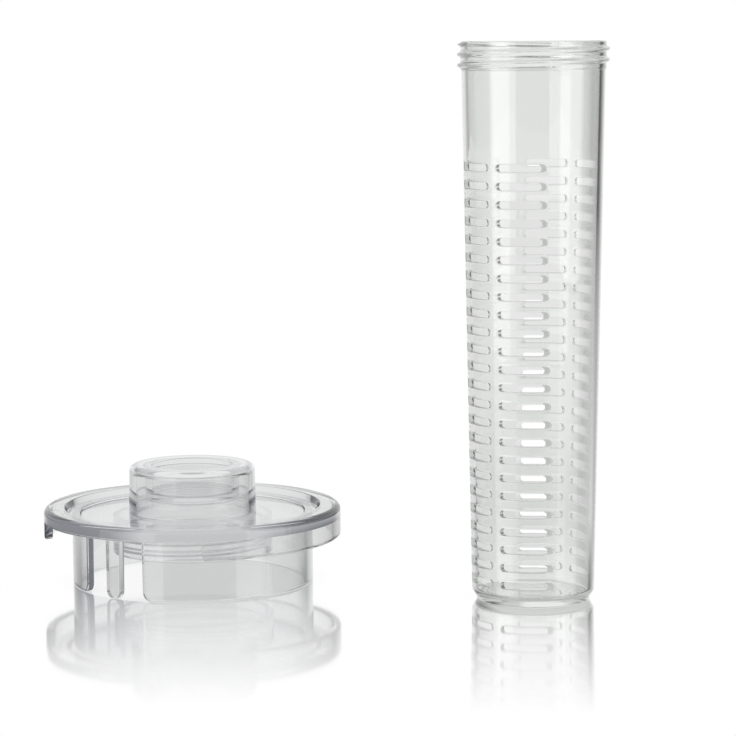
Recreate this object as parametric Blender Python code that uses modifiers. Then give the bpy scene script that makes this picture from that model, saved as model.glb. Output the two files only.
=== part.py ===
"""Lid and infuser of a fruit infuser pitcher, in clear acrylic, standing apart on a flat surface.

Units are metres and +Z is up. The origin is under the middle of the pair, at the height of the surface.
The lid stands on its inner skirt at -X. The slotted infuser stands on its foot at +X, mouth up. In use the
infuser's thread goes up into the collar under the lid, and the lid closes the jug, which isn't part of the
set. The whole set is modelled at its real size.
"""

import math

import bmesh
import bpy
from mathutils import Matrix, Vector

MM = 0.001

# Infuser tube
TUBE_HEIGHT = 242 * MM
TUBE_WALL = 2.5 * MM
TUBE_BASE_RADIUS = 26.55 * MM
TUBE_DRAFT = math.radians(1.094)
TUBE_FLOOR = 2.6 * MM
TUBE_FLOOR_ROUND = 2.0 * MM
TUBE_LIP_ROUND = 0.6 * MM
FOOT_TAPER = 2.35 * MM
FOOT_RISE = 4.0 * MM
FOOT_ROUND = 3.0 * MM
FOOT_EDGE_ROUND = 0.4 * MM
FOOT_RING_WIDTH = 3.6 * MM
FOOT_RECESS = 0.8 * MM
NECK_STEP = 0.2 * MM
NECK_SLOPE = 1.0 * MM
NECK_RUNOUT = 0.7 * MM

# Slots in the tube, cut along one direction by two opposite slides of its mould
SLOT_HEIGHT = 3.1 * MM
SLOT_RIB = 4.69 * MM
SLOT_ROUND = 1.3 * MM
SLOT_BRIDGE = 5.2 * MM
SLOT_SIDE_LAND = 6.25 * MM
SLOT_FLOOR_GAP = 4.65 * MM
PLAIN_WALL = 40.5 * MM
SLOT_DIRECTION = math.radians(-40)

# Thread between the tube and the lid's collar, single start and right-handed
THREAD_PITCH = 4.65 * MM
THREAD_HEIGHT = 1.4 * MM
THREAD_BEAD = 1.2 * MM
THREAD_TURNS = 2.25
THREAD_TOP_GAP = 1.35 * MM
THREAD_TOP_ANGLE = math.radians(149)
THREAD_FADE = math.radians(25)
THREAD_TIP_SHARE = 0.3
THREAD_CLEARANCE = 0.4 * MM

# Collar under the lid
COLLAR_WALL = 2.9 * MM
COLLAR_LEAD = 1.7 * MM
COLLAR_END_ROUND = 0.8 * MM
COLLAR_BEAD = 1.0 * MM
COLLAR_BEAD_CLEARANCE = 0.55 * MM
COLLAR_BEAD_END_GAP = 2.45 * MM

# Strainer skirt: the inner skirt that plugs the jug's mouth, with two windows and a finger at the spout
STRAINER_RADIUS = 54.3 * MM
STRAINER_WALL = 3.5 * MM
STRAINER_DEPTH = 28.5 * MM
STRAINER_ROUND = 0.8 * MM
LEFT_WINDOW_WIDTH = 14.2 * MM
RIGHT_WINDOW_WIDTH = 11.5 * MM
WINDOW_CORNER = 4.0 * MM
WINDOW_HEAD = 2.2 * MM
FINGER_WIDTH = 7.8 * MM
FINGER_ROUND = 3.6 * MM
SPOUT_DIRECTION = math.radians(-37)

# Cover of the lid: a plate with a raised rim, and an outer skirt that stops at the spout
PLATE_THICKNESS = 2.5 * MM
RIM_HEIGHT = 3.5 * MM
RIM_WIDTH = 9.2 * MM
RIM_SLOPE = 1.9 * MM
RIM_ROUND = 2.6 * MM
STEP_HEIGHT = 0.7 * MM
STEP_WIDTH = 5.1 * MM
STEP_SLOPE = 0.4 * MM
JUG_RIM_GROOVE = 8.9 * MM
JUG_RIM_SEAT_RELIEF = 0.2 * MM
OUTER_SKIRT_WALL = 3.8 * MM
OUTER_SKIRT_DEPTH = 8.1 * MM
OUTER_SKIRT_ROUND = 1.4 * MM
SPOUT_GAP = math.radians(88.4)

# Knob on the cover, hollow from below, with a recess for the fingertips
RECESS_RADIUS = 18.2 * MM
RECESS_DEPTH = 13.0 * MM
RECESS_EDGE_ROUND = 1.2 * MM
RECESS_FLOOR_ROUND = 2.0 * MM
KNOB_WALL = 3.0 * MM
KNOB_HOLLOW = 4.5 * MM
KNOB_UNDER_RECESS = 6.2 * MM
KNOB_DRAFT = 0.4 * MM
KNOB_ROUND = 3.2 * MM

# Layout of the pair
SEAT_GAP = 0.3 * MM
PAIR_GAP = 51.8 * MM
SPACING_Y = 45.3 * MM

# Fineness of the faceted surfaces
TUBE_SEGMENTS = 36
LID_SEGMENTS = 64
KNOB_SEGMENTS = 48
ARC_STEPS = 3

# Working lengths: how far a cutter runs past what it cuts, and the merge distance for points
CUTTER_MARGIN = 5 * MM
MERGE_DISTANCE = 0.01 * MM

# Look of the pieces
PLASTIC_IOR = 1.49
PLASTIC_ROUGHNESS = 0.03
SHARP_ANGLE = math.radians(30)

# Sizes that follow from those above
TUBE_SLOPE = math.tan(TUBE_DRAFT)
NECK_LENGTH = THREAD_TOP_GAP + THREAD_TURNS * THREAD_PITCH + NECK_RUNOUT
NECK_RADIUS = TUBE_BASE_RADIUS + TUBE_HEIGHT * TUBE_SLOPE + NECK_STEP
CREST_RADIUS = NECK_RADIUS + THREAD_HEIGHT
SLOT_PITCH = SLOT_HEIGHT + SLOT_RIB
SLOT_REACH = TUBE_BASE_RADIUS - SLOT_SIDE_LAND
LOWEST_SLOT = FOOT_RECESS + TUBE_FLOOR + SLOT_FLOOR_GAP + SLOT_HEIGHT / 2
COLLAR_BORE = CREST_RADIUS + THREAD_CLEARANCE
COLLAR_RADIUS = COLLAR_BORE + COLLAR_WALL
COLLAR_BOTTOM = STRAINER_DEPTH - SEAT_GAP - NECK_LENGTH - COLLAR_LEAD
COVER_RADIUS = STRAINER_RADIUS + JUG_RIM_GROOVE + OUTER_SKIRT_WALL
PLATE_TOP = STRAINER_DEPTH + PLATE_THICKNESS
SKIRT_TOP = STRAINER_DEPTH - SEAT_GAP
KNOB_RADIUS = RECESS_RADIUS + KNOB_HOLLOW + 2 * KNOB_WALL
KNOB_TOP = PLATE_TOP + KNOB_UNDER_RECESS + KNOB_WALL + RECESS_DEPTH
SPACING_X = COVER_RADIUS + PAIR_GAP + CREST_RADIUS
LID_X = -(SPACING_X + CREST_RADIUS - COVER_RADIUS) / 2
LID_Y = (max(COVER_RADIUS, SPACING_Y + CREST_RADIUS) - COVER_RADIUS) / 2
TUBE_X = LID_X + SPACING_X
TUBE_Y = LID_Y - SPACING_Y


def remove_all_objects():
    for obj in list(bpy.data.objects):
        bpy.data.objects.remove(obj, do_unlink=True)


def new_collection(name):
    collection = bpy.data.collections.new(name)
    bpy.context.scene.collection.children.link(collection)
    return collection


def clear_plastic(name, colour):
    material = bpy.data.materials.new(name)
    material.use_nodes = True
    shader = material.node_tree.nodes["Principled BSDF"]
    shader.inputs["Base Color"].default_value = (*colour, 1.0)
    shader.inputs["Roughness"].default_value = PLASTIC_ROUGHNESS
    shader.inputs["Metallic"].default_value = 0.0
    shader.inputs["IOR"].default_value = PLASTIC_IOR
    shader.inputs["Transmission Weight"].default_value = 1.0
    material.diffuse_color = (*colour, 1.0)
    return material


def rounded(corners):
    """An outline through corners (across, up, rounding), each rounded by an arc of its own radius."""
    points = []
    for index, (across, up, radius) in enumerate(corners):
        corner = Vector((across, up))
        if radius == 0:
            points.append(corner)
            continue
        back = (Vector(corners[index - 1][:2]) - corner).normalized()
        ahead = (Vector(corners[(index + 1) % len(corners)][:2]) - corner).normalized()
        half_angle = back.angle(ahead) / 2
        centre = corner + (back + ahead).normalized() * radius / math.sin(half_angle)
        first = corner + back * radius / math.tan(half_angle) - centre
        turn = math.pi - 2 * half_angle
        if back.x * ahead.y - back.y * ahead.x > 0:
            turn = -turn
        for step in range(ARC_STEPS + 1):
            points.append(centre + Matrix.Rotation(turn * step / ARC_STEPS, 2) @ first)
    return points


def new_object(name, mesh, collection):
    obj = bpy.data.objects.new(name, mesh)
    collection.objects.link(obj)
    return obj


def evaluated_mesh(obj):
    """A copy of the object's mesh with its modifiers applied."""
    graph = bpy.context.evaluated_depsgraph_get()
    return bpy.data.meshes.new_from_object(obj.evaluated_get(graph))


def turned(name, outline, segments, collection):
    """A solid turned about Z. Its outline runs from the top down the outer side to the axis, or is a ring."""
    mesh = bpy.data.meshes.new(name)
    points = [(across, 0, up) for across, up in outline]
    edges = [(i, i + 1) for i in range(len(points) - 1)]
    if points[0][0] > 0:
        edges.append((len(points) - 1, 0))
    mesh.from_pydata(points, edges, [])
    obj = new_object(name, mesh, collection)
    screw = obj.modifiers.new("turn", "SCREW")
    screw.steps = segments
    screw.render_steps = segments
    screw.use_merge_vertices = True
    screw.merge_threshold = MERGE_DISTANCE
    return obj


def welded_from_curve(obj, collection):
    """Replaces a curve object by a mesh object with its caps joined to its sides."""
    mesh = evaluated_mesh(obj)
    shape = bmesh.new()
    shape.from_mesh(mesh)
    bmesh.ops.remove_doubles(shape, verts=shape.verts, dist=MERGE_DISTANCE)
    shape.to_mesh(mesh)
    shape.free()
    welded = new_object(obj.name + "_solid", mesh, collection)
    welded.matrix_world = obj.matrix_world
    bpy.data.objects.remove(obj, do_unlink=True)
    return welded


def flat_shape(name, outline, thickness, collection):
    """An outline in the object's own XY plane, filled and given a thickness along its Z."""
    curve = bpy.data.curves.new(name, "CURVE")
    curve.dimensions = "2D"
    curve.fill_mode = "BOTH"
    curve.extrude = thickness / 2
    spline = curve.splines.new("POLY")
    spline.points.add(len(outline) - 1)
    for point, (across, up) in zip(spline.points, outline):
        point.co = (across, up, 0, 1)
    spline.use_cyclic_u = True
    return welded_from_curve(new_object(name, curve, collection), collection)


def thread_bead(name, path_radius, bead_radius, turns, top, wall_side, collection):
    """A round bead along a right-handed helix up to the height top, thinned into the wall at both ends.

    The wall lies inside the helix where wall_side is -1, and outside it where wall_side is 1.
    """
    curve = bpy.data.curves.new(name, "CURVE")
    curve.dimensions = "3D"
    curve.bevel_depth = bead_radius
    curve.bevel_resolution = 1
    curve.use_fill_caps = True
    steps = round(turns * TUBE_SEGMENTS)
    spline = curve.splines.new("POLY")
    spline.points.add(steps)
    sweep = turns * 2 * math.pi
    for index, point in enumerate(spline.points):
        travelled = sweep * index / steps
        angle = THREAD_TOP_ANGLE - travelled
        height = top - THREAD_PITCH * travelled / (2 * math.pi)
        fade = min(1, travelled / THREAD_FADE, (sweep - travelled) / THREAD_FADE)
        point.radius = THREAD_TIP_SHARE + (1 - THREAD_TIP_SHARE) * fade
        across = path_radius + wall_side * bead_radius * (1 - point.radius)
        point.co = (across * math.cos(angle), across * math.sin(angle), height, 1)
    return welded_from_curve(new_object(name, curve, collection), collection)


def combine(obj, other, operation):
    """Cuts the other object out of this one, or joins it on, and leaves the other as a hidden guide."""
    boolean = obj.modifiers.new(other.name, "BOOLEAN")
    boolean.operation = operation
    boolean.solver = "EXACT"
    boolean.object = other
    other.hide_render = True
    other.display_type = "WIRE"


def finish(obj, material, position):
    """Applies the modifiers, then gives the piece its place, its material and smooth round faces."""
    bpy.context.view_layer.update()
    obj.data = evaluated_mesh(obj)
    obj.modifiers.clear()
    obj.data.materials.clear()
    obj.data.materials.append(material)
    obj.data.shade_smooth()
    obj.data.set_sharp_from_angle(angle=SHARP_ANGLE)
    obj.parent = position


def slot_count():
    room = TUBE_HEIGHT - NECK_LENGTH - PLAIN_WALL - LOWEST_SLOT
    return max(1, int(room / SLOT_PITCH) + 1)


def slot_cutter(collection):
    """Bars that run right through the tube, two to a row, one each side of the bridge."""
    width = SLOT_REACH - SLOT_BRIDGE / 2
    length = 2 * (CREST_RADIUS + CUTTER_MARGIN)
    size = Matrix.Diagonal((width, length, SLOT_HEIGHT, 1))
    corner = min(SLOT_ROUND, SLOT_HEIGHT / 3)
    shape = bmesh.new()
    for row in range(slot_count()):
        for side in (-1, 1):
            centre = (side * (SLOT_BRIDGE + width) / 2, 0, LOWEST_SLOT + row * SLOT_PITCH)
            bar = bmesh.ops.create_cube(shape, size=1, matrix=Matrix.Translation(centre) @ size)
            edges = {edge for vert in bar["verts"] for edge in vert.link_edges}
            along = [edge for edge in edges if abs(edge.verts[0].co.y - edge.verts[1].co.y) > length / 2]
            bmesh.ops.bevel(shape, geom=along, offset=corner, segments=1, affect="EDGES")
    mesh = bpy.data.meshes.new("slot_cutter")
    shape.to_mesh(mesh)
    shape.free()
    cutter = new_object("slot_cutter", mesh, collection)
    cutter.rotation_euler.z = SLOT_DIRECTION
    return cutter


def tube_outline():
    shoulder = TUBE_HEIGHT - NECK_LENGTH
    shoulder_radius = TUBE_BASE_RADIUS + shoulder * TUBE_SLOPE
    mouth_radius = TUBE_BASE_RADIUS + TUBE_HEIGHT * TUBE_SLOPE - TUBE_WALL
    foot_radius = TUBE_BASE_RADIUS - FOOT_TAPER
    recess_radius = foot_radius - FOOT_RING_WIDTH
    return rounded([
        (0, TUBE_FLOOR + FOOT_RECESS, 0),
        (TUBE_BASE_RADIUS - TUBE_WALL, TUBE_FLOOR + FOOT_RECESS, TUBE_FLOOR_ROUND),
        (mouth_radius, TUBE_HEIGHT, TUBE_LIP_ROUND),
        (NECK_RADIUS, TUBE_HEIGHT, TUBE_LIP_ROUND),
        (NECK_RADIUS, shoulder + NECK_SLOPE, 0),
        (shoulder_radius, shoulder, 0),
        (TUBE_BASE_RADIUS + FOOT_RISE * TUBE_SLOPE, FOOT_RISE, FOOT_ROUND),
        (foot_radius, 0, FOOT_EDGE_ROUND),
        (recess_radius, 0, 0),
        (recess_radius - FOOT_RECESS, FOOT_RECESS, 0),
        (0, FOOT_RECESS, 0),
    ])


def make_infuser_tube(parts, guides, material, position):
    tube = turned("infuser_tube", tube_outline(), TUBE_SEGMENTS, parts)
    combine(tube, slot_cutter(guides), "DIFFERENCE")
    path_radius = CREST_RADIUS - THREAD_BEAD
    top = TUBE_HEIGHT - THREAD_TOP_GAP
    bead = thread_bead("male_thread", path_radius, THREAD_BEAD, THREAD_TURNS, top, -1, guides)
    combine(tube, bead, "UNION")
    finish(tube, material, position)


def make_infuser_collar(parts, guides, material, position):
    outline = rounded([
        (COLLAR_BORE, SKIRT_TOP, 0),
        (COLLAR_RADIUS, SKIRT_TOP, 0),
        (COLLAR_RADIUS, COLLAR_BOTTOM, COLLAR_END_ROUND),
        (COLLAR_BORE, COLLAR_BOTTOM, COLLAR_END_ROUND),
    ])
    collar = turned("infuser_collar", outline, TUBE_SEGMENTS, parts)
    path_radius = NECK_RADIUS + COLLAR_BEAD_CLEARANCE + COLLAR_BEAD
    top = SKIRT_TOP - COLLAR_BEAD_END_GAP
    turns = (top - COLLAR_BOTTOM - COLLAR_BEAD_END_GAP) / THREAD_PITCH
    bead = thread_bead("female_thread", path_radius, COLLAR_BEAD, turns, top, 1, guides)
    combine(collar, bead, "UNION")
    finish(collar, material, position)


def cover_outline():
    rim_top = PLATE_TOP + RIM_HEIGHT
    rim_inner = COVER_RADIUS - RIM_WIDTH
    step_outer = rim_inner - RIM_SLOPE
    step_inner = step_outer - STEP_WIDTH
    skirt_inner = COVER_RADIUS - OUTER_SKIRT_WALL
    skirt_bottom = STRAINER_DEPTH - OUTER_SKIRT_DEPTH
    seat_height = STRAINER_DEPTH + JUG_RIM_SEAT_RELIEF
    seat_inner = STRAINER_RADIUS + SEAT_GAP
    return rounded([
        (0, PLATE_TOP, 0),
        (step_inner - STEP_SLOPE, PLATE_TOP, 0),
        (step_inner, PLATE_TOP + STEP_HEIGHT, 0),
        (step_outer, PLATE_TOP + STEP_HEIGHT, 0),
        (rim_inner, rim_top, 0),
        (COVER_RADIUS, rim_top, RIM_ROUND),
        (COVER_RADIUS, skirt_bottom, OUTER_SKIRT_ROUND),
        (skirt_inner, skirt_bottom, OUTER_SKIRT_ROUND),
        (skirt_inner, seat_height, 0),
        (seat_inner, seat_height, 0),
        (seat_inner, STRAINER_DEPTH, 0),
        (0, STRAINER_DEPTH, 0),
    ])


def spout_gap_cutter(collection):
    """A slice that takes the outer skirt away either side of the spout, up to the plate's underside."""
    reach = (COVER_RADIUS + CUTTER_MARGIN) / math.cos(SPOUT_GAP / 4)
    angles = [SPOUT_GAP * (share - 0.5) for share in (0, 0.5, 1)]
    outline = [(0, 0)] + [(reach * math.sin(angle), -reach * math.cos(angle)) for angle in angles]
    cutter = flat_shape("spout_gap", outline, STRAINER_DEPTH, collection)
    cutter.location.z = STRAINER_DEPTH / 2
    cutter.rotation_euler.z = SPOUT_DIRECTION
    return cutter


def make_lid_cover(parts, guides, material, position):
    cover = turned("lid_cover", cover_outline(), LID_SEGMENTS, parts)
    combine(cover, spout_gap_cutter(guides), "DIFFERENCE")
    finish(cover, material, position)


def window_cutter(name, side, width, collection):
    """One window, open at the bottom, which also rounds the finger's tip and the wall's corner beside it."""
    near = side * FINGER_WIDTH / 2
    far = side * (FINGER_WIDTH / 2 + width)
    flare_near = near - side * FINGER_ROUND
    flare_far = far + side * WINDOW_CORNER
    head = SKIRT_TOP - WINDOW_HEAD
    corners = [
        (flare_near, -CUTTER_MARGIN, 0),
        (flare_near, 0, 0),
        (near, 0, FINGER_ROUND),
        (near, head, 0),
        (far, head, 0),
        (far, 0, WINDOW_CORNER),
        (flare_far, 0, 0),
        (flare_far, -CUTTER_MARGIN, 0),
    ]
    cutter = flat_shape(name, rounded(corners), STRAINER_RADIUS, collection)
    out = Matrix.Translation((0, -STRAINER_RADIUS, 0)) @ Matrix.Rotation(math.pi / 2, 4, "X")
    cutter.matrix_world = Matrix.Rotation(SPOUT_DIRECTION, 4, "Z") @ out
    return cutter


def make_strainer_skirt(parts, guides, material, position):
    inner = STRAINER_RADIUS - STRAINER_WALL
    outline = rounded([
        (inner, SKIRT_TOP, 0),
        (STRAINER_RADIUS, SKIRT_TOP, 0),
        (STRAINER_RADIUS, 0, STRAINER_ROUND),
        (inner, 0, STRAINER_ROUND),
    ])
    skirt = turned("strainer_skirt", outline, LID_SEGMENTS, parts)
    left = window_cutter("window_left", -1, LEFT_WINDOW_WIDTH, guides)
    right = window_cutter("window_right", 1, RIGHT_WINDOW_WIDTH, guides)
    combine(skirt, left, "DIFFERENCE")
    combine(skirt, right, "DIFFERENCE")
    finish(skirt, material, position)


def make_lid_knob(parts, material, position):
    base = PLATE_TOP + SEAT_GAP
    recess_floor = KNOB_TOP - RECESS_DEPTH
    hollow_top = KNOB_TOP - KNOB_WALL
    cup_radius = RECESS_RADIUS + KNOB_WALL
    outline = rounded([
        (0, recess_floor, 0),
        (RECESS_RADIUS, recess_floor, RECESS_FLOOR_ROUND),
        (RECESS_RADIUS, KNOB_TOP, RECESS_EDGE_ROUND),
        (KNOB_RADIUS - KNOB_DRAFT, KNOB_TOP, KNOB_ROUND),
        (KNOB_RADIUS, base, 0),
        (KNOB_RADIUS - KNOB_WALL, base, 0),
        (KNOB_RADIUS - KNOB_DRAFT - KNOB_WALL, hollow_top, 0),
        (cup_radius, hollow_top, 0),
        (cup_radius, recess_floor - KNOB_WALL, 0),
        (0, recess_floor - KNOB_WALL, 0),
    ])
    finish(turned("lid_knob", outline, KNOB_SEGMENTS, parts), material, position)


def place(name, position, collection):
    empty = bpy.data.objects.new(name, None)
    empty.location = position
    collection.objects.link(empty)
    return empty


def build():
    remove_all_objects()
    parts = new_collection("fruit_infuser_lid_and_tube")
    guides = new_collection("cutters")
    tube_place = place("infuser_place", (TUBE_X, TUBE_Y, 0), parts)
    lid_place = place("lid_place", (LID_X, LID_Y, 0), parts)
    tube_plastic = clear_plastic("infuser_plastic", (0.90, 0.93, 0.91))
    lid_plastic = clear_plastic("lid_plastic", (0.92, 0.93, 0.94))
    make_infuser_tube(parts, guides, tube_plastic, tube_place)
    make_infuser_collar(parts, guides, lid_plastic, lid_place)
    make_lid_cover(parts, guides, lid_plastic, lid_place)
    make_strainer_skirt(parts, guides, lid_plastic, lid_place)
    make_lid_knob(parts, lid_plastic, lid_place)


build()
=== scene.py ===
"""The lid and the infuser of a fruit infuser pitcher in clear acrylic, on a white glossy table."""

import math

import bmesh
import bpy
from mathutils import Matrix, Vector


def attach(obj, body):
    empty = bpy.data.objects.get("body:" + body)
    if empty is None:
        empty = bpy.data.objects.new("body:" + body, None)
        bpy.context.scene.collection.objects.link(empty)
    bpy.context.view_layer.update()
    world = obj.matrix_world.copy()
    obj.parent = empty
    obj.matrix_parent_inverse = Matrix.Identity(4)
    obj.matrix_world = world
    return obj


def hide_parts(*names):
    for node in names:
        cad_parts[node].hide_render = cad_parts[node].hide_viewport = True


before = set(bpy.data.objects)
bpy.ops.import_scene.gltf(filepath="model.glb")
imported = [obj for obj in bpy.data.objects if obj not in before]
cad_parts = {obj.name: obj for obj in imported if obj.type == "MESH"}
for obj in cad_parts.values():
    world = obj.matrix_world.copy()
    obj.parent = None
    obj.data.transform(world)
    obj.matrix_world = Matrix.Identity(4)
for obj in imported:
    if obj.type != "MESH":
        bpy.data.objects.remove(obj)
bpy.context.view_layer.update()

MM = 0.001

# Infuser tube
TUBE_HEIGHT = 242 * MM
TUBE_WALL = 2.5 * MM
TUBE_BASE_RADIUS = 26.55 * MM
TUBE_SLOPE = math.tan(math.radians(1.094))
TUBE_FLOOR = 2.6 * MM
TUBE_FLOOR_ROUND = 2.0 * MM
TUBE_LIP_ROUND = 0.7 * MM
FOOT_TAPER = 2.35 * MM
FOOT_RISE = 4.0 * MM
FOOT_ROUND = 3.0 * MM
FOOT_EDGE_ROUND = 0.4 * MM
FOOT_RING_WIDTH = 3.6 * MM
FOOT_RECESS = 0.8 * MM
FOOT_RECESS_ROUND = 0.3 * MM
NECK_STEP = 0.2 * MM
NECK_SLOPE = 1.0 * MM
NECK_RUNOUT = 0.7 * MM

# Slots
SLOT_HEIGHT = 3.1 * MM
SLOT_RIB = 4.69 * MM
SLOT_ROUND = 1.3 * MM
SLOT_BRIDGE = 5.2 * MM
SLOT_SIDE_LAND = 6.25 * MM
SLOT_FLOOR_GAP = 4.65 * MM
SLOT_EDGE_ROUND = 0.5 * MM
SLOT_ROWS = 24
SLOT_TURN = math.radians(-40)

# Thread
THREAD_PITCH = 4.65 * MM
THREAD_HEIGHT = 1.4 * MM
THREAD_HALF_WIDTH = 1.5 * MM
THREAD_FLAT = 0.25 * MM
THREAD_TURNS = 2.39
THREAD_TOP_GAP = 0.7 * MM
THREAD_TOP_ANGLE = math.radians(199)
THREAD_FADE = math.radians(25)
THREAD_CLEARANCE = 0.4 * MM
THREAD_LINE_STEP = 0.2 * MM

# Collar
COLLAR_WALL = 2.9 * MM
COLLAR_LEAD = 1.7 * MM
COLLAR_END_ROUND = 0.8 * MM
COLLAR_BEAD_HEIGHT = 1.25 * MM
COLLAR_BEAD_END_GAP = 2.45 * MM
COLLAR_THREAD_TOP_ANGLE = math.radians(149)

# Strainer skirt
STRAINER_RADIUS = 54.3 * MM
STRAINER_WALL = 3.5 * MM
STRAINER_DEPTH = 28.5 * MM
STRAINER_ROUND = 0.8 * MM
LEFT_WINDOW_WIDTH = 14.2 * MM
RIGHT_WINDOW_WIDTH = 11.5 * MM
WINDOW_CORNER = 4.0 * MM
WINDOW_HEAD = 2.2 * MM
WINDOW_HEAD_ROUND = 0.5 * MM
WINDOW_DRAFT = 0.25 * MM
FINGER_WIDTH = 7.8 * MM
FINGER_ROUND = 3.6 * MM
SPOUT_TURN = math.radians(-37)

# Cover
PLATE_THICKNESS = 2.5 * MM
RIM_HEIGHT = 3.5 * MM
RIM_WIDTH = 9.2 * MM
RIM_SLOPE = 1.9 * MM
RIM_ROUND = 2.6 * MM
RIM_INNER_ROUND = 0.6 * MM
STEP_HEIGHT = 0.7 * MM
STEP_WIDTH = 5.1 * MM
STEP_SLOPE = 0.4 * MM
STEP_ROUND = 0.3 * MM
JUG_RIM_GROOVE = 8.9 * MM
OUTER_SKIRT_WALL = 3.8 * MM
OUTER_SKIRT_DEPTH = 8.1 * MM
OUTER_SKIRT_ROUND = 1.4 * MM
SKIRT_ROOT_ROUND = 0.5 * MM
SPOUT_GAP = math.radians(88.4)
SPOUT_CORNER = 1.6 * MM
SPOUT_DRAFT = 0.5 * MM
MOULDED_EDGE = 0.4 * MM

# Knob
RECESS_RADIUS = 18.2 * MM
RECESS_DEPTH = 13.0 * MM
RECESS_EDGE_ROUND = 1.2 * MM
RECESS_FLOOR_ROUND = 2.0 * MM
KNOB_WALL = 3.0 * MM
KNOB_HOLLOW = 4.5 * MM
KNOB_UNDER_RECESS = 6.2 * MM
KNOB_DRAFT = 0.4 * MM
KNOB_ROUND = 3.2 * MM
KNOB_BASE_ROUND = 0.25 * MM
KNOB_HOLLOW_ROUND = 1.2 * MM

# Layout
SEAT_GAP = 0.3 * MM
PAIR_GAP = 51.8 * MM
SPACING_Y = 45.3 * MM

# Fineness
COLUMN_STEPS = 24
PLAIN_STEPS = 20
ROW_STEPS = 10
CORNER_STEPS = 4
ROLL_STEPS = 4
ARC_STEPS = 8
LID_SEGMENTS = 240
COLUMN_SPAN = math.radians(54)
FACE_RINGS = 3
CUT_MARGIN = 3 * MM
SPOUT_STEPS = 40
CUTTER_ROLL_START = math.radians(15)
SHARP_ANGLE = math.radians(35)
TINY = MM / 100

# Sizes that follow
NECK_LENGTH = THREAD_TOP_GAP + THREAD_TURNS * THREAD_PITCH + NECK_RUNOUT
NECK_RADIUS = TUBE_BASE_RADIUS + TUBE_HEIGHT * TUBE_SLOPE + NECK_STEP
CREST_RADIUS = NECK_RADIUS + THREAD_HEIGHT
SLOT_PITCH = SLOT_HEIGHT + SLOT_RIB
SLOT_REACH = TUBE_BASE_RADIUS - SLOT_SIDE_LAND
LOWEST_SLOT = FOOT_RECESS + TUBE_FLOOR + SLOT_FLOOR_GAP + SLOT_HEIGHT / 2
COLLAR_BORE = CREST_RADIUS + THREAD_CLEARANCE
COLLAR_RADIUS = COLLAR_BORE + COLLAR_WALL
COLLAR_BOTTOM = STRAINER_DEPTH - SEAT_GAP - NECK_LENGTH - COLLAR_LEAD
COVER_RADIUS = STRAINER_RADIUS + JUG_RIM_GROOVE + OUTER_SKIRT_WALL
PLATE_TOP = STRAINER_DEPTH + PLATE_THICKNESS
SKIRT_TOP = STRAINER_DEPTH - SEAT_GAP
KNOB_RADIUS = RECESS_RADIUS + KNOB_HOLLOW + 2 * KNOB_WALL
KNOB_TOP = PLATE_TOP + KNOB_UNDER_RECESS + KNOB_WALL + RECESS_DEPTH
SPACING_X = COVER_RADIUS + PAIR_GAP + CREST_RADIUS
LID_PLACE = Vector((
    -(SPACING_X + CREST_RADIUS - COVER_RADIUS) / 2,
    (max(COVER_RADIUS, SPACING_Y + CREST_RADIUS) - COVER_RADIUS) / 2,
    0,
))
TUBE_PLACE = LID_PLACE + Vector((SPACING_X, -SPACING_Y, 0))

# Camera, fitted to the photograph
CAMERA_PLACE = Vector((21.2, -1224.8, 242.1)) * MM
CAMERA_TILT = math.radians(6.77)
CAMERA_ROLL = math.radians(-0.36)
CAMERA_LENS = 134.5
CAMERA_SENSOR = 36

# Acrylic: its waves and haze, and the bounces after which a painted glow stands in for the rest of a
# ray's way
ACRYLIC_IOR = 1.49
WAVE_SCALE = 60
WAVE_DETAIL = 2
WAVE_STRENGTH = 0.04
WAVE_DEPTH = 0.5 * MM
HAZE = 0.03
LID_COLOUR = (0.935, 0.94, 0.94)
TUBE_COLOUR = (0.97, 0.98, 0.97)
LID_LIMIT = 1.5
TUBE_LIMIT = 3.5
BOUNCE_LIMIT = 11.5

# Painted light and shade that stands in for trapped rays, by millimetres from the axis of the lid or the
# infuser towards +X: mostly bright near the axis and darker off to the sides
PAINTED_GLOW_REACH = 70 * MM
LID_PAINTED_GLOW = (
    (-62, (0.03, 0.033, 0.042)),
    (-45, (0.20, 0.21, 0.24)),
    (-26, (0.27, 0.28, 0.30)),
    (-16, (0.57, 0.58, 0.59)),
    (20, (0.57, 0.58, 0.59)),
    (30, (0.34, 0.35, 0.37)),
    (42, (0.11, 0.12, 0.14)),
    (56, (0.02, 0.022, 0.03)),
)
SKIRT_PAINTED_GLOW = (
    (-62, (0.03, 0.033, 0.042)),
    (-45, (0.23, 0.24, 0.27)),
    (-26, (0.42, 0.43, 0.45)),
    (-16, (0.64, 0.65, 0.66)),
    (36, (0.60, 0.61, 0.62)),
    (60, (0.32, 0.33, 0.34)),
)
TUBE_PAINTED_GLOW = (
    (-30, (0.30, 0.31, 0.30)),
    (-21, (0.25, 0.26, 0.25)),
    (-18, (0.12, 0.13, 0.12)),
    (-13, (0.12, 0.13, 0.12)),
    (-9, (0.58, 0.60, 0.58)),
    (20, (0.58, 0.60, 0.58)),
    (28, (0.48, 0.50, 0.48)),
)

# Room that the plastic mirrors: levels by degrees from +Y towards +X, and overhead between two heights
ROOM_LEVELS = (
    (-180, 0.2),
    (-120, 0.3),
    (-38, 0.35),
    (-18, 1),
    (24, 1),
    (37, 0.1),
    (120, 0.2),
    (180, 0.2),
)
ROOM_ABOVE = 0.6
ROOM_ABOVE_REACH = (0.4, 0.85)

# Heights over which what is mirrored once, on the outside, turns from the dim room to white
UPWARD_REACH = (0.03, 0.05)

# Room for diffuse light
ROOM_DIFFUSE = 0.6

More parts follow.
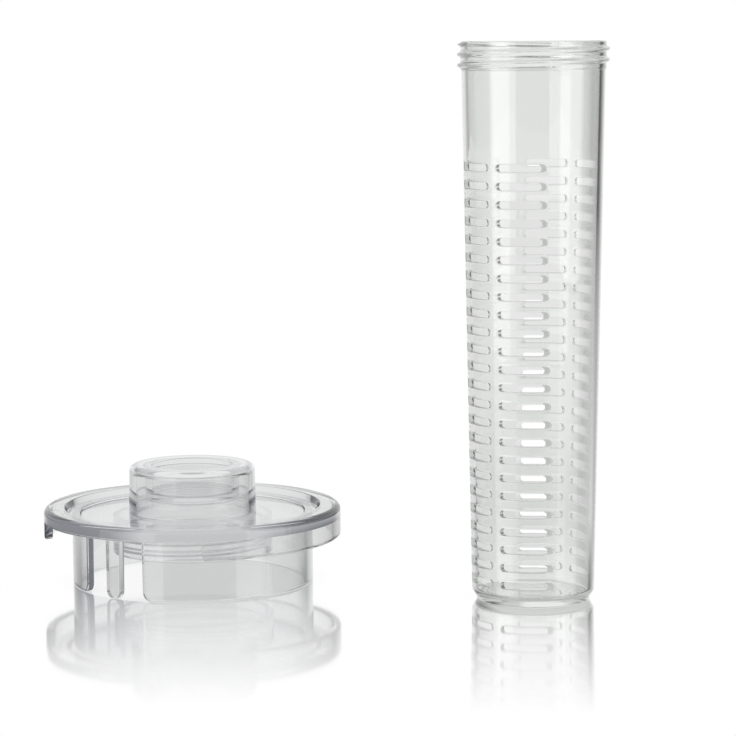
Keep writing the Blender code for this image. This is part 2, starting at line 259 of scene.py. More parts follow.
# Seen through plastic: levels of the room and the table by the same degrees, which on the table are
# painted shade, and the most that each has
FLAG_LEVELS = ((-180, 1), (8, 1), (14, 0.7), (32, 0.7), (42, 1), (180, 1))
ROOM_THROUGH = 0.87
TABLE_THROUGH = 0.82
# Painted shade on the table under the lid, seen through plastic: its darkest level
TABLE_SHADE_UNDER_LID = 0.74

# Painted shade on the table, seen only through plastic: a darker narrow strip behind the infuser, and the
# metres over which that ends
TABLE_NEAR_SHADE = 0.68
NEAR_REACH = (0.1, 0.9)
NEAR_NARROWING = 9

# Painted shade on the far table, for rays that turned inside the plastic, by the same degrees, and the
# metres to it
FAR_LEVELS = ((-180, 1), (24, 1), (37, 0.1), (80, 0.1), (110, 1), (180, 1))
FAR_REACH = (0, 2.4)

# Table: its size, its mirror round and under each thing, and its shadows, in metres
TABLE_SIZE = 6
TABLE_DROP = 0.1 * MM
TABLE_ROUGHNESS = 0.06
TABLE_MIRRORED = 0.65
LID_MIRROR = 0.76
TUBE_MIRROR = 0.88
MIRROR_INSIDE = 0.3
MIRROR_MIRRORED = 0.8
MIRROR_REACH = 0.187
SHADOW_REACH = 0.012
SHADOW_LEVEL = 0.8
SHADE_REACH = 0.06
SHADE_SAMPLES = 4

# Softboxes
SOFTBOX_SIZE = (0.87, 0.6)
SOFTBOX_POWER = 2.3
SOFTBOX_AIM = Vector((0.09, -0.04, 0.12))
LEFT_SOFTBOX = Vector((-0.79, -0.69, 0.3))
RIGHT_SOFTBOX = Vector((1.07, -0.56, 0.3))

# A ray's count of bounces is none where it is under this
NO_BOUNCE = 0.5


def smoothstep(share):
    share = min(1, max(0, share))
    return share * share * (3 - 2 * share)


def added(name, data):
    """A new object in the scene."""
    obj = bpy.data.objects.new(name, data)
    bpy.context.scene.collection.objects.link(obj)
    return obj


def rounded(corners):
    """An outline through corners given as (across, up, rounding), each rounded by its own radius."""
    points = []
    for index, (across, up, radius) in enumerate(corners):
        corner = Vector((across, up))
        if radius == 0:
            points.append(corner)
            continue
        back = (Vector(corners[index - 1][:2]) - corner).normalized()
        ahead = (Vector(corners[(index + 1) % len(corners)][:2]) - corner).normalized()
        half_angle = back.angle(ahead) / 2
        centre = corner + (back + ahead).normalized() * radius / math.sin(half_angle)
        first = corner + back * radius / math.tan(half_angle) - centre
        turn = math.pi - 2 * half_angle
        if back.x * ahead.y - back.y * ahead.x > 0:
            turn = -turn
        for step in range(ARC_STEPS + 1):
            points.append(centre + Matrix.Rotation(turn * step / ARC_STEPS, 2) @ first)
    return points


class Shell:
    """Points and faces of one closed surface, gathered ring by ring."""

    def __init__(self):
        self.points = []
        self.faces = []

    def point(self, angle, radius, height):
        """Adds a point at an angle from -Y towards +X."""
        self.points.append((radius * math.sin(angle), -radius * math.cos(angle), height))
        return len(self.points) - 1

    def bridge(self, ring, following):
        """Faces between two rings of points. A ring of one point is a pole."""
        count = max(len(ring), len(following))
        for index in range(count):
            after = (index + 1) % count
            face = [ring[index % len(ring)], following[index % len(following)],
                    following[after % len(following)], ring[after % len(ring)]]
            self.faces.append(list(dict.fromkeys(face)))

    def profile(self, outline, angles, first=None, last=None, swell=None):
        """Turns an outline about Z, from an existing ring to another where these are given."""
        ring = first
        for across, up in outline:
            if across < TINY:
                following = [self.point(0, 0, up)]
            else:
                swells = [swell(angle, across, up) if swell else 0 for angle in angles]
                following = [self.point(angle, across + more, up) for angle, more in zip(angles, swells)]
            if ring:
                self.bridge(ring, following)
            ring = following
        if last:
            self.bridge(ring, last)
        return ring

    def object(self, name):
        mesh = bpy.data.meshes.new(name)
        mesh.from_pydata(self.points, [], self.faces)
        return added(name, mesh)


def turned(name, outline, swell=None):
    """Turns an outline about Z. One that starts away from the axis is closed into a ring."""
    angles = [2 * math.pi * index / LID_SEGMENTS for index in range(LID_SEGMENTS)]
    shell = Shell()
    last = shell.profile(outline, angles, swell=swell)
    if outline[0][0] > 0:
        shell.bridge(last, list(range(LID_SEGMENTS)))
    return shell.object(name)


def applied(obj):
    """Applies the modifiers."""
    graph = bpy.context.evaluated_depsgraph_get()
    obj.data = bpy.data.meshes.new_from_object(obj.evaluated_get(graph))
    obj.modifiers.clear()
    return obj


def smooth(obj):
    """Smooth shading between sharp edges, with normals that follow the larger faces."""
    obj.data.shade_smooth()
    obj.data.set_sharp_from_angle(angle=SHARP_ANGLE)
    weighted = obj.modifiers.new("weighted normals", "WEIGHTED_NORMAL")
    weighted.keep_sharp = True
    return applied(obj)


def cut(obj, cutter):
    """Takes the cutter's shape out of an object, and the cutter out of the scene."""
    boolean = obj.modifiers.new("cut", "BOOLEAN")
    boolean.operation = "DIFFERENCE"
    boolean.solver = "EXACT"
    boolean.object = cutter
    applied(obj)
    bpy.data.objects.remove(cutter, do_unlink=True)


def roll(start=0.0):
    """Shares (inward, sideways) along a quarter round, from the face to the cut."""
    for step in range(ROLL_STEPS + 1):
        angle = start + (math.pi / 2 - start) * step / ROLL_STEPS
        yield 1 - math.cos(angle), 1 - math.sin(angle)


def thread_swell(angle, height, top_angle, top, sweep, tall):
    """How far a helical ridge stands out at an angle from +X, anticlockwise, and at a height."""
    travelled = (top_angle - angle) % (2 * math.pi)
    total = 0
    while travelled <= sweep:
        away = abs(height - (top - THREAD_PITCH * travelled / (2 * math.pi)))
        fade = smoothstep(min(travelled, sweep - travelled) / THREAD_FADE)
        total += tall * fade * smoothstep((THREAD_HALF_WIDTH - away) / (THREAD_HALF_WIDTH - THREAD_FLAT))
        travelled += 2 * math.pi
    return total


# Infuser tube


def tube_radius(height):
    return TUBE_BASE_RADIUS + height * TUBE_SLOPE


def tube_angles():
    """Angles of the tube's points: two slotted columns and a plain stretch on each side."""
    angles = []
    for side in (0, math.pi):
        angles += [side + COLUMN_SPAN * (index / COLUMN_STEPS - 1) for index in range(2 * COLUMN_STEPS)]
        plain = math.pi - 2 * COLUMN_SPAN
        angles += [side + COLUMN_SPAN + plain * index / PLAIN_STEPS for index in range(PLAIN_STEPS)]
    return angles


def slot_outline(middle, offset):
    """Points (across, up) round a slot, anticlockwise from the middle of its lower left corner."""
    half_width = (SLOT_REACH - SLOT_BRIDGE / 2) / 2
    half_height = SLOT_HEIGHT / 2
    radius = SLOT_ROUND + offset
    reach = (half_width - SLOT_ROUND, half_height - SLOT_ROUND)
    signs = [(-1, -1), (1, -1), (1, 1), (-1, 1)]
    eighth = math.pi / 4
    points = []
    for side in range(4):
        count = (COLUMN_STEPS, ROW_STEPS)[side % 2]
        near = Vector((middle + signs[side][0] * reach[0], signs[side][1] * reach[1]))
        far_sign = signs[(side + 1) % 4]
        far = Vector((middle + far_sign[0] * reach[0], far_sign[1] * reach[1]))
        start = math.radians(225 + 90 * side)
        straight = count - 2 * CORNER_STEPS
        for step in range(count):
            if step < CORNER_STEPS:
                angle = start + eighth * step / CORNER_STEPS
                centre = near
            elif step <= CORNER_STEPS + straight:
                angle = start + eighth
                centre = near.lerp(far, (step - CORNER_STEPS) / straight)
            else:
                angle = start + eighth + eighth * (step - CORNER_STEPS - straight) / CORNER_STEPS
                centre = far
            points.append(centre + radius * Vector((math.cos(angle), math.sin(angle))))
    return points


class TubeWall:
    """The slotted stretch of the tube: a grid on both faces, with a slot in each cell of the columns."""

    def __init__(self, shell, angles):
        self.shell = shell
        self.angles = angles
        self.bottom = LOWEST_SLOT - SLOT_PITCH / 2
        self.kept = {}
        self.count = SLOT_ROWS * ROW_STEPS

    def height(self, row):
        return self.bottom + row * SLOT_PITCH / ROW_STEPS

    def at(self, depth, column, row):
        """Index of a point of the grid, made when it is first asked for."""
        column %= len(self.angles)
        key = (depth > 0, column, row)
        if key not in self.kept:
            height = self.height(row)
            self.kept[key] = self.shell.point(self.angles[column], tube_radius(height) - depth, height)
        return self.kept[key]

    def ring(self, depth, row):
        return [self.at(depth, column, row) for column in range(len(self.angles))]

    def plain_cell(self, column, row):
        """A cell with no slot, on both faces."""
        for depth in (0, TUBE_WALL):
            face = [self.at(depth, column, row), self.at(depth, column + 1, row),
                    self.at(depth, column + 1, row + 1), self.at(depth, column, row + 1)]
            self.shell.faces.append(face if depth == 0 else face[::-1])

    def slot_ring(self, side, middle, centre, depth, offset):
        """A slot's outline on a surface at a depth in the wall, as (angle, radius, height)."""
        ring = []
        for across, up in slot_outline(middle, offset):
            radius = tube_radius(centre + up) - depth
            ring.append((side + math.asin(across / radius), radius, centre + up))
        return ring

    def cell_edge(self, column, row):
        """Places (column, row) round a slot's cell, anticlockwise from its lower left corner."""
        right = column + COLUMN_STEPS
        upper = row + ROW_STEPS
        edge = [(column + step, row) for step in range(COLUMN_STEPS)]
        edge += [(right, row + step) for step in range(ROW_STEPS)]
        edge += [(right - step, upper) for step in range(COLUMN_STEPS)]
        edge += [(column, upper - step) for step in range(ROW_STEPS)]
        return edge

    def slot_cell(self, side, column, row):
        """One slot in its cell: the face around it, its rounded edge, and its sides through the wall."""
        column_side = 1 if column % (len(self.angles) // 2) else -1
        middle = column_side * (SLOT_BRIDGE / 2 + SLOT_REACH) / 2
        centre = self.height(row) + SLOT_PITCH / 2
        edge = self.cell_edge(column, row)
        rolls = [(inward * SLOT_EDGE_ROUND, sideways * SLOT_EDGE_ROUND) for inward, sideways in roll()]
        layers = rolls + [(TUBE_WALL / 2, 0)]
        layers += [(TUBE_WALL - inward, sideways) for inward, sideways in rolls[::-1]]
        rings = [self.slot_ring(side, middle, centre, depth, offset) for depth, offset in layers]
        shares = [step / (FACE_RINGS + 1) for step in range(1, FACE_RINGS + 1)]
        outside = [self.between(edge, rings[0], 0, share) for share in shares]
        inside = [self.between(edge, rings[-1], TUBE_WALL, share) for share in reversed(shares)]
        made = [[self.shell.point(*place) for place in ring] for ring in outside + rings + inside]
        made.insert(0, [self.at(0, *place) for place in edge])
        made.append([self.at(TUBE_WALL, *place) for place in edge])
        for ring, following in zip(made, made[1:]):
            for index in range(len(ring)):
                after = (index + 1) % len(ring)
                self.shell.faces.append([ring[index], ring[after], following[after], following[index]])

    def between(self, edge, ring, depth, share):
        """A ring part of the way from the cell's edge to the slot's."""
        middle = []
        for (column, row), (angle, _, height) in zip(edge, ring):
            edge_angle = self.angles[column % len(self.angles)]
            edge_angle += round((angle - edge_angle) / (2 * math.pi)) * 2 * math.pi
            angle = edge_angle + (angle - edge_angle) * share
            height = self.height(row) + (height - self.height(row)) * share
            middle.append((angle, tube_radius(height) - depth, height))
        return middle

    def build(self):
        half = len(self.angles) // 2
        for side in (0, 1):
            for row in range(0, self.count, ROW_STEPS):
                for column in (0, COLUMN_STEPS):
                    self.slot_cell(side * math.pi, side * half + column, row)
            for column in range(2 * COLUMN_STEPS, half):
                for row in range(self.count):
                    self.plain_cell(side * half + column, row)


def neck_swell(angle, across, height):
    """Swell of the thread on the neck. The tube is turned by SLOT_TURN, and its thread isn't."""
    if across <= NECK_RADIUS - TINY:
        return 0
    lip = smoothstep((TUBE_HEIGHT - TUBE_LIP_ROUND - height) / (TUBE_LIP_ROUND / 2))
    from_x = angle - math.pi / 2 + SLOT_TURN
    top = TUBE_HEIGHT - THREAD_TOP_GAP
    sweep = THREAD_TURNS * 2 * math.pi
    return lip * thread_swell(from_x, height, THREAD_TOP_ANGLE, top, sweep, THREAD_HEIGHT)


def tube_inside(bottom):
    """From the middle of the floor out and up to the slotted stretch."""
    floor_top = FOOT_RECESS + TUBE_FLOOR
    return rounded([
        (0, floor_top, 0),
        (TUBE_BASE_RADIUS - TUBE_WALL, floor_top, TUBE_FLOOR_ROUND),
        (tube_radius(bottom) - TUBE_WALL, bottom, 0),
    ])[:-1]


def tube_neck():
    """From above the slots inside, over the lip, and down the neck in lines that carry its thread."""
    shoulder = TUBE_HEIGHT - NECK_LENGTH
    lip = rounded([
        (tube_radius(shoulder) - TUBE_WALL, shoulder, 0),
        (tube_radius(TUBE_HEIGHT) - TUBE_WALL, TUBE_HEIGHT, TUBE_LIP_ROUND),
        (NECK_RADIUS, TUBE_HEIGHT, TUBE_LIP_ROUND),
        (NECK_RADIUS, shoulder, 0),
    ])[:-1]
    high = lip[-1].y
    low = shoulder + NECK_SLOPE
    lines = int((high - low) / THREAD_LINE_STEP)
    neck = [Vector((NECK_RADIUS, high + (low - high) * line / lines)) for line in range(1, lines + 1)]
    return lip + neck + [Vector((tube_radius(shoulder), shoulder))]


def tube_foot(bottom):
    """From below the slots on the outside, round the foot ring, to the middle of its recess."""
    foot_radius = TUBE_BASE_RADIUS - FOOT_TAPER
    recess_radius = foot_radius - FOOT_RING_WIDTH
    return rounded([
        (tube_radius(bottom), bottom, 0),
        (tube_radius(FOOT_RISE), FOOT_RISE, FOOT_ROUND),
        (foot_radius, 0, FOOT_EDGE_ROUND),
        (recess_radius, 0, FOOT_RECESS_ROUND),
        (recess_radius - FOOT_RECESS, FOOT_RECESS, FOOT_RECESS_ROUND),
        (0, FOOT_RECESS, 0),
    ])[1:]


def make_infuser_tube():
    shell = Shell()
    angles = tube_angles()
    wall = TubeWall(shell, angles)
    wall.build()
    shell.profile(tube_inside(wall.bottom), angles, last=wall.ring(TUBE_WALL, 0))
    above_inside = wall.ring(TUBE_WALL, wall.count)
    above_outside = wall.ring(0, wall.count)
    shell.profile(tube_neck(), angles, first=above_inside, last=above_outside, swell=neck_swell)
    shell.profile(tube_foot(wall.bottom), angles, first=wall.ring(0, 0))
    tube = shell.object("infuser_tube_clear")
    tube.data.transform(Matrix.Translation(TUBE_PLACE) @ Matrix.Rotation(SLOT_TURN, 4, "Z"))
    return smooth(tube)


# Lid


def placed(obj, turn=0.0):
    """Turns a piece of the lid about its axis and sets it at the lid's place."""
    obj.data.transform(Matrix.Translation(LID_PLACE) @ Matrix.Rotation(turn, 4, "Z"))
    return smooth(obj)


def collar_swell(angle, across, height):
    """Ridge of the collar's thread, which stands inwards from the bore."""
    if across > COLLAR_BORE + TINY:
        return 0
    top = SKIRT_TOP - COLLAR_BEAD_END_GAP
    sweep = (top - COLLAR_BOTTOM - COLLAR_BEAD_END_GAP) / THREAD_PITCH * 2 * math.pi
    from_x = angle - math.pi / 2
    return -thread_swell(from_x, height, COLLAR_THREAD_TOP_ANGLE, top, sweep, COLLAR_BEAD_HEIGHT)


def make_infuser_collar():
    outline = rounded([
        (COLLAR_BORE, SKIRT_TOP, 0),
        (COLLAR_RADIUS, SKIRT_TOP, 0),
        (COLLAR_RADIUS, COLLAR_BOTTOM, COLLAR_END_ROUND),
        (COLLAR_BORE, COLLAR_BOTTOM, COLLAR_END_ROUND),
    ])
    low = outline[-1].y
    lines = int((SKIRT_TOP - low) / THREAD_LINE_STEP)
    outline += [Vector((COLLAR_BORE, low + (SKIRT_TOP - low) * line / lines)) for line in range(1, lines)]
    return placed(turned("infuser_collar_clear", outline, swell=collar_swell))


def notch_layers(outer, inner):
    """Layers (radius, offset) of a notch through a skirt, wider where its edges are rounded."""
    shares = list(roll(CUTTER_ROLL_START))
    rolls = [(inward * MOULDED_EDGE, sideways * MOULDED_EDGE) for inward, sideways in shares]
    layers = [(outer + CUT_MARGIN, rolls[0][1])]
    layers += [(outer - inward, sideways) for inward, sideways in rolls]
    layers += [(inner + inward, sideways) for inward, sideways in rolls[::-1]]
    layers += [(inner - CUT_MARGIN, rolls[0][1])]
    return layers


def notch_cutter(name, line_at, outer, inner, bottom):
    """The shape that cuts a notch up into a skirt."""
    shape = bmesh.new()
    loops = []
    for radius, offset in notch_layers(outer, inner):
        line = line_at(offset)
        loop = [(across, up) for across, up in line] + [(across, bottom) for across, _ in reversed(line)]
        loops.append([
            shape.verts.new((radius * math.sin(across / outer), -radius * math.cos(across / outer), up))
            for across, up in loop
        ])
    for loop, following in zip(loops, loops[1:]):
        for index in range(len(loop)):
            after = (index + 1) % len(loop)
            shape.faces.new((loop[index], loop[after], following[after], following[index]))
    for loop in (loops[0], loops[-1]):
        for index in range(len(loop) // 2 - 1):
            shape.faces.new((loop[index], loop[index + 1], loop[-index - 2], loop[-index - 1]))
    bmesh.ops.recalc_face_normals(shape, faces=shape.faces)
    mesh = bpy.data.meshes.new(name)
    shape.to_mesh(mesh)
    shape.free()
    return added(name, mesh)


def window_line(side, width):
    """The upper edge of a window's notch: up the finger, across the head, and down the wall."""
    near = FINGER_WIDTH / 2
    far = near + width
    head = SKIRT_TOP - WINDOW_HEAD

    def line_at(offset):
        corners = [
            (near - FINGER_ROUND - offset, 0, 0),
            (near - offset, 0, FINGER_ROUND),
            (near + WINDOW_DRAFT - offset, head + offset, WINDOW_HEAD_ROUND),
            (far - WINDOW_DRAFT + offset, head + offset, WINDOW_HEAD_ROUND),
            (far + offset, 0, WINDOW_CORNER),
            (far + WINDOW_CORNER + offset, 0, 0),
        ]
        line = [(math.asin(across / STRAINER_RADIUS), up) for across, up in rounded(corners)]
        return [(side * STRAINER_RADIUS * angle, up) for angle, up in line][::side]

    return line_at


def spout_line(offset):
    """The upper edge of the gap in the outer skirt, from one rounded end to the other."""
    half = COVER_RADIUS * SPOUT_GAP / 2
    bottom = STRAINER_DEPTH - OUTER_SKIRT_DEPTH
    end = rounded([
        (-half - SPOUT_CORNER - offset, bottom, 0),
        (-half - offset, bottom, SPOUT_CORNER),
        (-half + SPOUT_DRAFT - offset, STRAINER_DEPTH + offset, SKIRT_ROOT_ROUND),
        (0, STRAINER_DEPTH + offset, 0),
    ])[:-1]
    reach = end[-1].x
    shares = [1 - 2 * step / SPOUT_STEPS for step in range(1, SPOUT_STEPS)]
    middle = [Vector((reach * share, STRAINER_DEPTH + offset)) for share in shares]
    return end + middle + [Vector((-point.x, point.y)) for point in reversed(end)]


def cover_outline():
    rim_top = PLATE_TOP + RIM_HEIGHT
    rim_inner = COVER_RADIUS - RIM_WIDTH
    step_outer = rim_inner - RIM_SLOPE
    step_inner = step_outer - STEP_WIDTH
    skirt_inner = COVER_RADIUS - OUTER_SKIRT_WALL
    skirt_bottom = STRAINER_DEPTH - OUTER_SKIRT_DEPTH
    return rounded([
        (0, PLATE_TOP, 0),
        (step_inner - STEP_SLOPE, PLATE_TOP, STEP_ROUND),
        (step_inner, PLATE_TOP + STEP_HEIGHT, STEP_ROUND),
        (step_outer, PLATE_TOP + STEP_HEIGHT, RIM_INNER_ROUND),
        (rim_inner, rim_top, RIM_INNER_ROUND),
        (COVER_RADIUS, rim_top, RIM_ROUND),
        (COVER_RADIUS, skirt_bottom, OUTER_SKIRT_ROUND),
        (skirt_inner, skirt_bottom, OUTER_SKIRT_ROUND),
        (skirt_inner, STRAINER_DEPTH, 0),
        (0, STRAINER_DEPTH, 0),
    ])


def make_lid_cover():
    cover = turned("lid_cover_clear", cover_outline())
    skirt_inner = COVER_RADIUS - OUTER_SKIRT_WALL
    cut(cover, notch_cutter("spout_gap", spout_line, COVER_RADIUS, skirt_inner, STRAINER_DEPTH / 2))
    return placed(cover, SPOUT_TURN)


def make_strainer_skirt():
    inner = STRAINER_RADIUS - STRAINER_WALL
    outline = rounded([
        (inner, SKIRT_TOP, 0),
        (STRAINER_RADIUS, SKIRT_TOP, 0),
        (STRAINER_RADIUS, 0, STRAINER_ROUND),
        (inner, 0, STRAINER_ROUND),
    ])
    skirt = turned("strainer_skirt_clear", outline)
    for side, width in ((-1, LEFT_WINDOW_WIDTH), (1, RIGHT_WINDOW_WIDTH)):
        cut(skirt, notch_cutter("window", window_line(side, width), STRAINER_RADIUS, inner, -CUT_MARGIN))
    return placed(skirt, SPOUT_TURN)


def make_lid_knob():
    base = PLATE_TOP + SEAT_GAP
    recess_floor = KNOB_TOP - RECESS_DEPTH
    hollow_top = KNOB_TOP - KNOB_WALL
    cup_radius = RECESS_RADIUS + KNOB_WALL
    outline = rounded([
        (0, recess_floor, 0),
        (RECESS_RADIUS, recess_floor, RECESS_FLOOR_ROUND),
        (RECESS_RADIUS, KNOB_TOP, RECESS_EDGE_ROUND),
        (KNOB_RADIUS - KNOB_DRAFT, KNOB_TOP, KNOB_ROUND),
        (KNOB_RADIUS, base, KNOB_BASE_ROUND),
        (KNOB_RADIUS - KNOB_WALL, base, KNOB_BASE_ROUND),
        (KNOB_RADIUS - KNOB_DRAFT - KNOB_WALL, hollow_top, KNOB_HOLLOW_ROUND),
        (cup_radius, hollow_top, KNOB_HOLLOW_ROUND),
        (cup_radius, recess_floor - KNOB_WALL, RECESS_FLOOR_ROUND),
        (0, recess_floor - KNOB_WALL, 0),
    ])
    return placed(turned("lid_knob_clear", outline))


# Materials


class Graph:
    """The emptied nodes of a material or world, with short ways to add one and to join it to others."""

    def __init__(self, owner):
        owner.use_nodes = True
        self.nodes = owner.node_tree.nodes
        self.links = owner.node_tree.links
        self.nodes.clear()

    def fill(self, node, inputs):
        """Sets inputs of a node, given in pairs, to values or to the outputs of other nodes."""
        for key, value in inputs:
            if isinstance(value, bpy.types.NodeSocket):
                self.links.new(value, node.inputs[key])
            else:
                node.inputs[key].default_value = value

    def node(self, kind, inputs=None):
        """A new node, with inputs given by name or number."""
        node = self.nodes.new(kind)
        self.fill(node, (inputs or {}).items())
        return node

    def math(self, operation, *values):
        """The result of an operation on numbers or outputs."""
        node = self.nodes.new("ShaderNodeMath")
        node.operation = operation
        self.fill(node, enumerate(values))
        return node.outputs[0]

    def vector_math(self, operation, output, *values):
        """The result of an operation on vectors: the output Vector or Value."""
        node = self.nodes.new("ShaderNodeVectorMath")
        node.operation = operation
        self.fill(node, enumerate(values))
        return node.outputs[output]

    def mix(self, share, first, second):
        """The first value at share 0, the second at share 1."""
        node = self.node("ShaderNodeMix", {"Factor": share, "A": first, "B": second})
        return node.outputs["Result"]

    def mix_shaders(self, share, first, second):
        return self.node("ShaderNodeMixShader", {"Fac": share, 1: first, 2: second}).outputs[0]

    def mapped(self, value, start, end, low=0, high=1, interpolation="LINEAR"):
        """A value between start and end, moved to between low and high and held there."""
        node = self.node("ShaderNodeMapRange", {
            "Value": value,
            "From Min": start,
            "From Max": end,
            "To Min": low,
            "To Max": high,
        })
        node.interpolation_type = interpolation
        return node.outputs["Result"]

    def ramp(self, share, stops):
        """The colour at a share from 0 to 1, between stops given as (share, colour)."""
        node = self.node("ShaderNodeValToRGB", {"Fac": share})
        elements = node.color_ramp.elements
        while len(elements) < len(stops):
            elements.new(0.5)
        for element, (position, colour) in zip(elements, stops):
            element.position = position
            element.color = (*colour, 1)
        return node.outputs["Color"]


def painted_trapped_glow(graph, place, axis, levels):
    """Painted light and shade in place of a ray that no longer finds its way out, set by how far to one
    side of an axis it is.
    """
    split = graph.node("ShaderNodeSeparateXYZ", {0: place})
    aside = graph.math("SUBTRACT", split.outputs["X"], axis)
    share = graph.mapped(aside, -PAINTED_GLOW_REACH, PAINTED_GLOW_REACH)
    stops = [(distance * MM / PAINTED_GLOW_REACH / 2 + 0.5, colour) for distance, colour in levels]
    return graph.node("ShaderNodeEmission", {"Color": graph.ramp(share, stops)}).outputs[0]


def acrylic(name, colour, limit, axis, levels):
    """Clear acrylic, faintly wavy from its mould, with a painted glow, lighter or darker by place, in
    place of what a trapped ray misses.
    """
    material = bpy.data.materials.new(name)
    graph = Graph(material)
    place = graph.node("ShaderNodeTexCoord").outputs["Object"]
    noise = graph.node("ShaderNodeTexNoise", {
        "Vector": place,
        "Scale": WAVE_SCALE,
        "Detail": WAVE_DETAIL,
    })
    waves = noise.outputs["Fac"]
    bump = graph.node("ShaderNodeBump", {
        "Strength": WAVE_STRENGTH,
        "Distance": WAVE_DEPTH,
        "Height": waves,
    })
    plastic = graph.node("ShaderNodeBsdfPrincipled", {
        "Base Color": (*colour, 1),
        "Roughness": graph.mapped(waves, 0, 1, 0, HAZE),
        "IOR": ACRYLIC_IOR,
        "Normal": bump.outputs["Normal"],
        "Transmission Weight": 1,
    })
    path = graph.node("ShaderNodeLightPath").outputs
    mirrored = graph.math("GREATER_THAN", path["Glossy Depth"], limit)
    long = graph.math("GREATER_THAN", path["Ray Depth"], BOUNCE_LIMIT)
    trapped = graph.math("MAXIMUM", mirrored, long)
    # Painted light and shade, set by place, for rays that stay trapped
    painted_glow = painted_trapped_glow(graph, place, axis, levels)
    surface = graph.mix_shaders(trapped, plastic.outputs[0], painted_glow)
    graph.node("ShaderNodeOutputMaterial", {"Surface": surface})
    return material


# Table and room


def by_direction(graph, split, levels, scale=1):
    """Levels given by degrees from +Y towards +X, for the split parts of a direction."""
    side = graph.math("ARCTAN2", split.outputs["X"], split.outputs["Y"])
    turn = graph.mapped(side, -math.pi, math.pi)
    return graph.ramp(turn, [(degrees / 360 + 0.5, (level * scale,) * 3) for degrees, level in levels])


def mirror_share(graph, place, centre, radius, most):
    """How much the table mirrors: most round the foot of a thing that stands on it, and less under it."""
    away = graph.vector_math("DISTANCE", "Value", place, centre)
    fade = graph.mapped(away, radius, radius + MIRROR_REACH, most, 0)
    under = graph.math("LESS_THAN", away, radius)
    return graph.mix(under, fade, MIRROR_INSIDE)


def shade(graph, reach, darkest):
    """Level of the table, lower where things stand close to it."""
    near = graph.node("ShaderNodeAmbientOcclusion", {"Distance": reach})
    near.samples = SHADE_SAMPLES
    return graph.mapped(near.outputs["AO"], 0, 1, darkest, 1)


def far_level(graph, path, offset, split):
    """One, but with painted shade to one side on the far table for rays that turned inside the plastic.
    """
    away = graph.vector_math("LENGTH", "Value", offset)
    far = graph.mapped(away, *FAR_REACH)
    turned_inside = graph.math("MULTIPLY", path["Transmission Depth"], path["Glossy Depth"])
    held = graph.math("MINIMUM", turned_inside, 1)
    share = graph.math("MULTIPLY", far, held)
    return graph.mix(share, 1, by_direction(graph, split, FAR_LEVELS))


def near_level(graph, offset, split):
    """How white the table is through plastic, with painted shade: a darker strip near the infuser, and
    levels by direction farther off.
    """
    narrowed = graph.vector_math("MULTIPLY", "Vector", offset, (NEAR_NARROWING, 1, 1))
    away = graph.vector_math("LENGTH", "Value", narrowed)
    share = graph.mapped(away, *NEAR_REACH)
    return graph.mix(share, TABLE_NEAR_SHADE, by_direction(graph, split, FLAG_LEVELS, TABLE_THROUGH))


def table_level(graph, path, place):
    """How white the table is, seen directly with its shadows, or through plastic with painted shade, or
    mirrored.
    """
    offset = graph.vector_math("SUBTRACT", "Vector", place, TUBE_PLACE)
    split = graph.node("ShaderNodeSeparateXYZ", {0: offset})
    shadow = shade(graph, SHADOW_REACH, SHADOW_LEVEL)
    under = shade(graph, SHADE_REACH, TABLE_SHADE_UNDER_LID)
    through = graph.math("MULTIPLY", near_level(graph, offset, split), under)
    passed = graph.math("GREATER_THAN", path["Transmission Depth"], NO_BOUNCE)
    level = graph.mix(passed, shadow, through)
    dimmer = graph.mapped(path["Is Reflection Ray"], 0, 1, 1, TABLE_MIRRORED)
    strength = graph.math("MULTIPLY", level, dimmer)
    return graph.math("MULTIPLY", strength, far_level(graph, path, offset, split))


def make_table():
    bpy.ops.mesh.primitive_plane_add(size=TABLE_SIZE, location=(0, 0, -TABLE_DROP))
    table = bpy.context.object
    table.name = "table"
    material = bpy.data.materials.new("white_table")
    graph = Graph(material)
    path = graph.node("ShaderNodeLightPath").outputs
    place = graph.node("ShaderNodeTexCoord").outputs["Object"]
    white = graph.node("ShaderNodeEmission", {"Strength": table_level(graph, path, place)})
    gloss = graph.node("ShaderNodeBsdfGlossy", {"Color": (1, 1, 1, 1), "Roughness": TABLE_ROUGHNESS})
    round_lid = mirror_share(graph, place, LID_PLACE, STRAINER_RADIUS, LID_MIRROR)
    round_tube = mirror_share(graph, place, TUBE_PLACE, TUBE_BASE_RADIUS - FOOT_TAPER, TUBE_MIRROR)
    nearer = graph.math("MAXIMUM", round_lid, round_tube)
    glossier = graph.math("MULTIPLY", path["Is Reflection Ray"], MIRROR_MIRRORED)
    share = graph.math("MAXIMUM", nearer, glossier)
    surface = graph.mix_shaders(share, white.outputs[0], gloss.outputs[0])
    graph.node("ShaderNodeOutputMaterial", {"Surface": surface})
    table.data.materials.append(material)


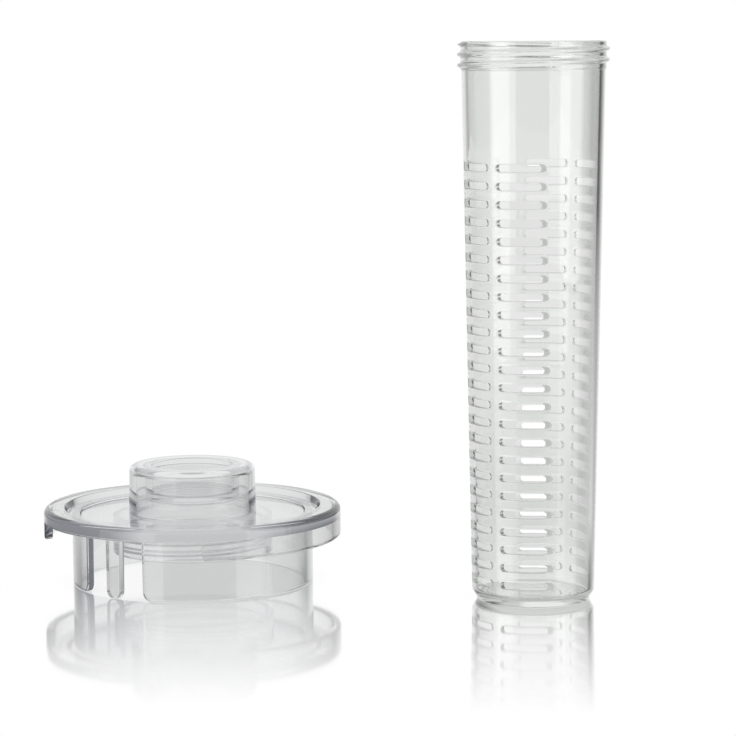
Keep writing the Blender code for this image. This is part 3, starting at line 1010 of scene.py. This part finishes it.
def make_world():
    """White where it is seen directly, and less so through plastic, which mirrors a dimmer room."""
    world = bpy.data.worlds.new("studio")
    bpy.context.scene.world = world
    graph = Graph(world)
    path = graph.node("ShaderNodeLightPath").outputs
    direction = graph.node("ShaderNodeTexCoord").outputs["Generated"]
    split = graph.node("ShaderNodeSeparateXYZ", {0: direction})
    high = graph.mapped(split.outputs["Z"], *ROOM_ABOVE_REACH, interpolation="SMOOTHSTEP")
    room = graph.mix(high, by_direction(graph, split, ROOM_LEVELS), ROOM_ABOVE)
    upward = graph.mapped(split.outputs["Z"], *UPWARD_REACH)
    direct = graph.math("LESS_THAN", path["Transmission Depth"], NO_BOUNCE)
    limit = graph.math("MULTIPLY_ADD", upward, direct, NO_BOUNCE)
    mirrored = graph.math("GREATER_THAN", path["Glossy Depth"], limit)
    passed = graph.math("GREATER_THAN", path["Transmission Depth"], NO_BOUNCE)
    through = graph.mix(passed, 1, by_direction(graph, split, FLAG_LEVELS, ROOM_THROUGH))
    level = graph.math("MULTIPLY", graph.mix(mirrored, 1, room), through)
    lit = graph.mix(path["Is Diffuse Ray"], level, ROOM_DIFFUSE)
    back = graph.node("ShaderNodeBackground", {"Color": lit})
    graph.node("ShaderNodeOutputWorld", {"Surface": back.outputs[0]})


def make_softbox(name, place):
    light = bpy.data.lights.new(name, "AREA")
    light.shape = "RECTANGLE"
    light.size, light.size_y = SOFTBOX_SIZE
    light.energy = SOFTBOX_POWER
    softbox = added(name, light)
    softbox.location = place
    softbox.rotation_euler = (SOFTBOX_AIM - place).to_track_quat("-Z", "Y").to_euler()


def make_camera():
    data = bpy.data.cameras.new("camera")
    data.lens = CAMERA_LENS
    data.sensor_width = CAMERA_SENSOR
    camera = added("camera", data)
    camera.location = CAMERA_PLACE
    tilt = Matrix.Rotation(math.pi / 2 - CAMERA_TILT, 4, "X")
    camera.rotation_euler = (tilt @ Matrix.Rotation(CAMERA_ROLL, 4, "Z")).to_euler()
    bpy.context.scene.camera = camera


make_camera()
make_world()
make_table()
make_softbox("left_softbox", LEFT_SOFTBOX)
make_softbox("right_softbox", RIGHT_SOFTBOX)
bpy.context.scene.view_settings.view_transform = "Standard"

tube_plastic = acrylic("infuser_acrylic", TUBE_COLOUR, TUBE_LIMIT, TUBE_PLACE.x, TUBE_PAINTED_GLOW)
lid_plastic = acrylic("lid_acrylic", LID_COLOUR, LID_LIMIT, LID_PLACE.x, LID_PAINTED_GLOW)
skirt_plastic = acrylic("skirt_acrylic", LID_COLOUR, LID_LIMIT, LID_PLACE.x, SKIRT_PAINTED_GLOW)
for made, node, body, plastic, slot in (
    (make_infuser_tube(), "infuser_tube", "infuser", tube_plastic, "infuser_plastic"),
    (make_lid_cover(), "lid_cover", "lid", lid_plastic, "lid_plastic"),
    (make_strainer_skirt(), "strainer_skirt", "lid", skirt_plastic, "lid_plastic"),
    (make_infuser_collar(), "infuser_collar", "lid", skirt_plastic, "lid_plastic"),
    (make_lid_knob(), "lid_knob", "lid", lid_plastic, "lid_plastic"),
):
    made.data.materials.clear()
    made.data.materials.append(plastic)
    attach(made, body)
    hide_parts(node)
